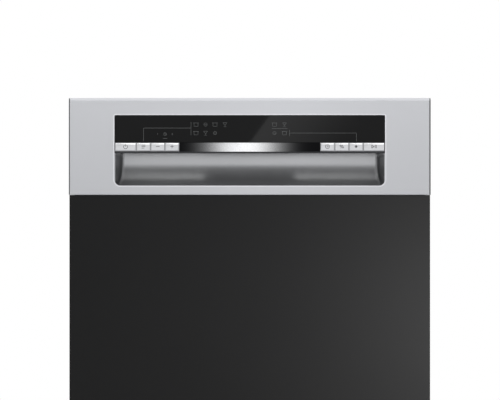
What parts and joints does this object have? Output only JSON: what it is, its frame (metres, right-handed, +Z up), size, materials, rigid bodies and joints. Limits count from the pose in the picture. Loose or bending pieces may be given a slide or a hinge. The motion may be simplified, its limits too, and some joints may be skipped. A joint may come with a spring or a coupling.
{
  "type": "semi-integrated dishwasher",
  "caption": "Built-in dishwasher with a silver control fascia, grip pocket, black front panel, fold-down door, wire racks on rails, spray arms, sump, pumps and levelling feet.",
  "frame": {"origin": "on the floor under the middle of the whole machine, feet screwed in", "axes": "+X to the right seen from the front, +Y to the back, +Z up; the door faces -Y"},
  "size_m": [0.598, 0.57, 0.82],
  "materials": {
    "base_plastic": "moulded grey-black plastic",
    "galvanised_steel": "galvanised steel sheet",
    "stainless_steel": "brushed stainless steel",
    "black_sheet": "black painted steel",
    "black_rubber": "black rubber",
    "clear_plastic": "natural translucent plastic",
    "grey_plastic": "light grey plastic",
    "white_plastic": "white plastic",
    "rack_coating": "grey nylon coating on steel wire",
    "black_front": "satin black lacquer on board",
    "silver_fascia": "satin silver",
    "black_glass": "gloss black window",
    "bright_trim": "bright chrome trim",
    "key_white": "silver keys",
    "board_green": "green circuit board",
    "lid_plastic": "grey lid",
    "blue_plastic": "blue cap"
  },
  "bodies": {
    "cabinet": {"base_tray": "base_plastic", "kick_plate": "black_sheet", "side_panel_left": "galvanised_steel", "side_panel_right": "galvanised_steel", "back_panel": "galvanised_steel", "top_cover": "galvanised_steel", "tub": "stainless_steel", "door_gasket": "black_rubber", "hinge_brackets": "galvanised_steel", "balance_springs": "galvanised_steel", "sump": "base_plastic", "filter_plate": "stainless_steel", "circulation_pump": "base_plastic", "drain_pump": "base_plastic", "salt_container": "white_plastic", "inlet_valve": "white_plastic", "cable_gland": "black_rubber", "water_box": "clear_plastic", "feed_pipe": "grey_plastic", "outer_rails": "galvanised_steel", "fasteners": "galvanised_steel"},
    "door": {"door_panel": "galvanised_steel", "front_panel": "black_front", "door_liner": "stainless_steel", "hinge_arms": "galvanised_steel", "fascia": "silver_fascia", "display_window": "black_glass", "grip_pocket": "silver_fascia", "button_bar": "bright_trim", "control_board": "board_green", "dispenser_body": "grey_plastic", "door_latch": "galvanised_steel"},
    "foot_front_left": {"foot_front_left": "black_rubber"},
    "foot_front_right": {"foot_front_right": "black_rubber"},
    "foot_rear": {"foot_rear": "black_rubber"},
    "filter": {"filter_cylinder": "grey_plastic"},
    "salt_cap": {"salt_cap": "grey_plastic"},
    "lower_spray_arm": {"lower_spray_arm": "grey_plastic"},
    "upper_spray_arm": {"upper_spray_arm": "grey_plastic"},
    "middle_rails": {"middle_rails": "galvanised_steel"},
    "upper_rack": {"upper_rack": "rack_coating", "inner_rails": "galvanised_steel"},
    "lower_rack": {"lower_rack": "rack_coating"},
    "front_wheels": {"front_wheels": "grey_plastic"},
    "rear_wheels": {"rear_wheels": "grey_plastic"},
    "tine_row_front": {"tine_row_front": "rack_coating"},
    "tine_row_rear": {"tine_row_rear": "rack_coating"},
    "cutlery_basket": {"cutlery_basket": "grey_plastic"},
    "cup_shelf_left": {"cup_shelf_left": "rack_coating"},
    "cup_shelf_right": {"cup_shelf_right": "rack_coating"},
    "detergent_lid": {"detergent_lid": "lid_plastic"},
    "rinse_cap": {"rinse_cap": "blue_plastic"},
    "key_power": {"key_power": "key_white"},
    "key_program": {"key_program": "key_white"},
    "key_minus": {"key_minus": "key_white"},
    "key_plus": {"key_plus": "key_white"},
    "key_delay": {"key_delay": "key_white"},
    "key_half_load": {"key_half_load": "key_white"},
    "key_function": {"key_function": "key_white"},
    "key_start": {"key_start": "key_white"}
  },
  "joints": [
    {"name": "door_hinge", "type": "hinge", "parent": "cabinet", "child": "door", "pos_m": [0, -0.222, 0.128], "axis": [1, 0, 0], "range_deg": [0, 90], "stiffness_Nm_per_rad": 27},
    {"name": "middle_rail_slide", "type": "slide", "parent": "cabinet", "child": "middle_rails", "axis": [0, -1, 0], "range_m": [0, 0.2]},
    {"name": "upper_rack_slide", "type": "slide", "parent": "middle_rails", "child": "upper_rack", "axis": [0, -1, 0], "range_m": [0, 0.2]},
    {"name": "lower_rack_slide", "type": "slide", "parent": "cabinet", "child": "lower_rack", "axis": [0, -1, 0], "range_m": [0, 0.134]},
    {"name": "wheel_front_spin", "type": "hinge", "parent": "lower_rack", "child": "front_wheels", "pos_m": [0, -0.121, 0.1583], "axis": [1, 0, 0], "continuous": true},
    {"name": "wheel_rear_spin", "type": "hinge", "parent": "lower_rack", "child": "rear_wheels", "pos_m": [0, 0.151, 0.1583], "axis": [1, 0, 0], "continuous": true},
    {"name": "arm_lower_spin", "type": "hinge", "parent": "cabinet", "child": "lower_spray_arm", "pos_m": [0, 0.022, 0.158], "axis": [0, 0, 1], "continuous": true},
    {"name": "arm_upper_spin", "type": "hinge", "parent": "upper_rack", "child": "upper_spray_arm", "pos_m": [0, 0.022, 0.432], "axis": [0, 0, 1], "continuous": true},
    {"name": "cutlery_basket_lift", "type": "slide", "parent": "lower_rack", "child": "cutlery_basket", "axis": [0, 0, 1], "range_m": [0, 0.06]},
    {"name": "cup_shelf_left_flip", "type": "hinge", "parent": "upper_rack", "child": "cup_shelf_left", "pos_m": [-0.2452, 0, 0.56], "axis": [0, -1, 0], "range_deg": [0, 80]},
    {"name": "cup_shelf_right_flip", "type": "hinge", "parent": "upper_rack", "child": "cup_shelf_right", "pos_m": [0.2452, 0, 0.56], "axis": [0, 1, 0], "range_deg": [0, 80]},
    {"name": "tine_row_front_fold", "type": "hinge", "parent": "lower_rack", "child": "tine_row_front", "pos_m": [0, -0.06, 0.1868], "axis": [-1, 0, 0], "range_deg": [0, 75]},
    {"name": "tine_row_rear_fold", "type": "hinge", "parent": "lower_rack", "child": "tine_row_rear", "pos_m": [0, 0.06, 0.1868], "axis": [-1, 0, 0], "range_deg": [0, 75]},
    {"name": "detergent_lid_slide", "type": "slide", "parent": "door", "child": "detergent_lid", "axis": [-1, 0, 0], "range_m": [0, 0.062]},
    {"name": "rinse_cap_turn", "type": "hinge", "parent": "door", "child": "rinse_cap", "pos_m": [0.07, -0.203, 0.45], "axis": [0, 1, 0], "range_deg": [0, 90]},
    {"name": "filter_turn", "type": "hinge", "parent": "cabinet", "child": "filter", "pos_m": [0.05, -0.043, 0.11], "axis": [0, 0, 1], "range_deg": [0, 90]},
    {"name": "salt_cap_turn", "type": "hinge", "parent": "cabinet", "child": "salt_cap", "pos_m": [-0.19, 0.15, 0.143], "axis": [0, 0, 1], "range_deg": [0, 270]},
    {"name": "level_foot_front_left", "type": "slide", "parent": "cabinet", "child": "foot_front_left", "axis": [0, 0, -1], "range_m": [0, 0.05]},
    {"name": "level_foot_front_right", "type": "slide", "parent": "cabinet", "child": "foot_front_right", "axis": [0, 0, -1], "range_m": [0, 0.05]},
    {"name": "level_foot_rear", "type": "slide", "parent": "cabinet", "child": "foot_rear", "axis": [0, 0, -1], "range_m": [0, 0.05]},
    {"name": "press_key_power", "type": "slide", "parent": "door", "child": "key_power", "axis": [0, 1, 0], "range_m": [0, 0.001], "stiffness_N_per_m": 800},
    {"name": "press_key_program", "type": "slide", "parent": "door", "child": "key_program", "axis": [0, 1, 0], "range_m": [0, 0.001], "stiffness_N_per_m": 800},
    {"name": "press_key_minus", "type": "slide", "parent": "door", "child": "key_minus", "axis": [0, 1, 0], "range_m": [0, 0.001], "stiffness_N_per_m": 800},
    {"name": "press_key_plus", "type": "slide", "parent": "door", "child": "key_plus", "axis": [0, 1, 0], "range_m": [0, 0.001], "stiffness_N_per_m": 800},
    {"name": "press_key_delay", "type": "slide", "parent": "door", "child": "key_delay", "axis": [0, 1, 0], "range_m": [0, 0.001], "stiffness_N_per_m": 800},
    {"name": "press_key_half_load", "type": "slide", "parent": "door", "child": "key_half_load", "axis": [0, 1, 0], "range_m": [0, 0.001], "stiffness_N_per_m": 800},
    {"name": "press_key_function", "type": "slide", "parent": "door", "child": "key_function", "axis": [0, 1, 0], "range_m": [0, 0.001], "stiffness_N_per_m": 800},
    {"name": "press_key_start", "type": "slide", "parent": "door", "child": "key_start", "axis": [0, 1, 0], "range_m": [0, 0.001], "stiffness_N_per_m": 800}
  ],
  "couplings": [
    {"joint": "middle_rail_slide", "follows": "door_hinge", "m_per_rad": 0.12732},
    {"joint": "upper_rack_slide", "follows": "door_hinge", "m_per_rad": 0.12732},
    {"joint": "lower_rack_slide", "follows": "door_hinge", "m_per_rad": 0.085},
    {"joint": "wheel_front_spin", "follows": "door_hinge", "ratio": 4.7222},
    {"joint": "wheel_rear_spin", "follows": "door_hinge", "ratio": 4.7222}
  ]
}
